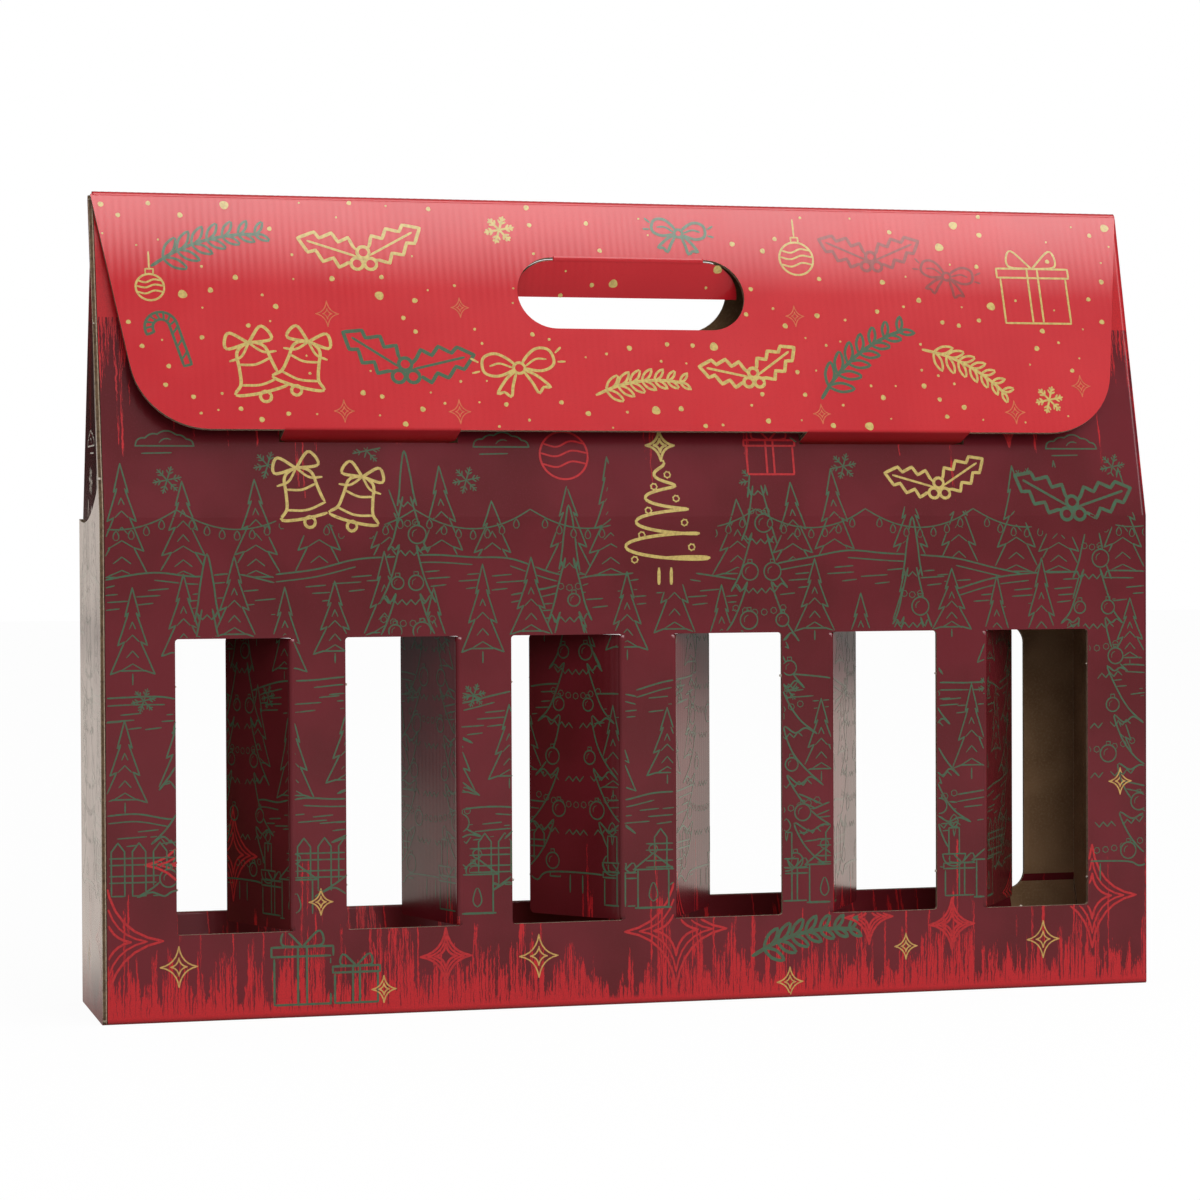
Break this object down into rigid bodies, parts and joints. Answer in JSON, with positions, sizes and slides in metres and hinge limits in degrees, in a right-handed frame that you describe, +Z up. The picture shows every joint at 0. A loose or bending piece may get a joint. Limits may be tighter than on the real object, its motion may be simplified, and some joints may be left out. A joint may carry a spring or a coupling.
{
  "type": "bottle shipping box",
  "caption": "Folded board carrier for a row of bottles: windowed front with fold-in dividers, long back opening, ridge with hand hole and tuck-in lid.",
  "frame": {"origin": "middle of the footprint, on the resting face", "axes": "+X along the row of windows to the viewer's right, +Y from the front to the back, +Z up"},
  "size_m": [0.508, 0.0858, 0.3772],
  "materials": {
    "printed_board": "gloss print on corrugated board",
    "printed_lid": "gloss print on corrugated board"
  },
  "bodies": {
    "carton": {"carton": "printed_board"},
    "lid": {"lid": "printed_lid"},
    "handle_flap": {"handle_flap": "printed_lid"},
    "window_flap_1": {"window_flap_1": "printed_board"},
    "window_flap_2": {"window_flap_2": "printed_board"},
    "window_flap_3": {"window_flap_3": "printed_board"},
    "window_flap_4": {"window_flap_4": "printed_board"},
    "window_flap_5": {"window_flap_5": "printed_board"},
    "window_flap_6": {"window_flap_6": "printed_board"}
  },
  "joints": [
    {"name": "lid_hinge", "type": "hinge", "parent": "carton", "child": "lid", "pos_m": [0, -0.0048, 0.3766], "axis": [-1, 0, 0], "range_deg": [0, 155]},
    {"name": "handle_flap_hinge", "type": "hinge", "parent": "lid", "child": "handle_flap", "pos_m": [0, -0.01379, 0.35051], "axis": [1, 0, 0], "range_deg": [-38, 32]},
    {"name": "window_flap_1_hinge", "type": "hinge", "parent": "carton", "child": "window_flap_1", "pos_m": [-0.1667, -0.04, 0.1065], "axis": [0, 0, -1], "range_deg": [-66, 34]},
    {"name": "window_flap_2_hinge", "type": "hinge", "parent": "carton", "child": "window_flap_2", "pos_m": [-0.0887, -0.04, 0.1065], "axis": [0, 0, -1], "range_deg": [-73, 27]},
    {"name": "window_flap_3_hinge", "type": "hinge", "parent": "carton", "child": "window_flap_3", "pos_m": [-0.0107, -0.04, 0.1065], "axis": [0, 0, -1], "range_deg": [-51, 49]},
    {"name": "window_flap_4_hinge", "type": "hinge", "parent": "carton", "child": "window_flap_4", "pos_m": [0.0137, -0.04, 0.1065], "axis": [0, 0, 1], "range_deg": [-56, 44]},
    {"name": "window_flap_5_hinge", "type": "hinge", "parent": "carton", "child": "window_flap_5", "pos_m": [0.0917, -0.04, 0.1065], "axis": [0, 0, 1], "range_deg": [-59, 41]},
    {"name": "window_flap_6_hinge", "type": "hinge", "parent": "carton", "child": "window_flap_6", "pos_m": [0.1697, -0.04, 0.1065], "axis": [0, 0, 1], "range_deg": [-55, 45]}
  ]
}
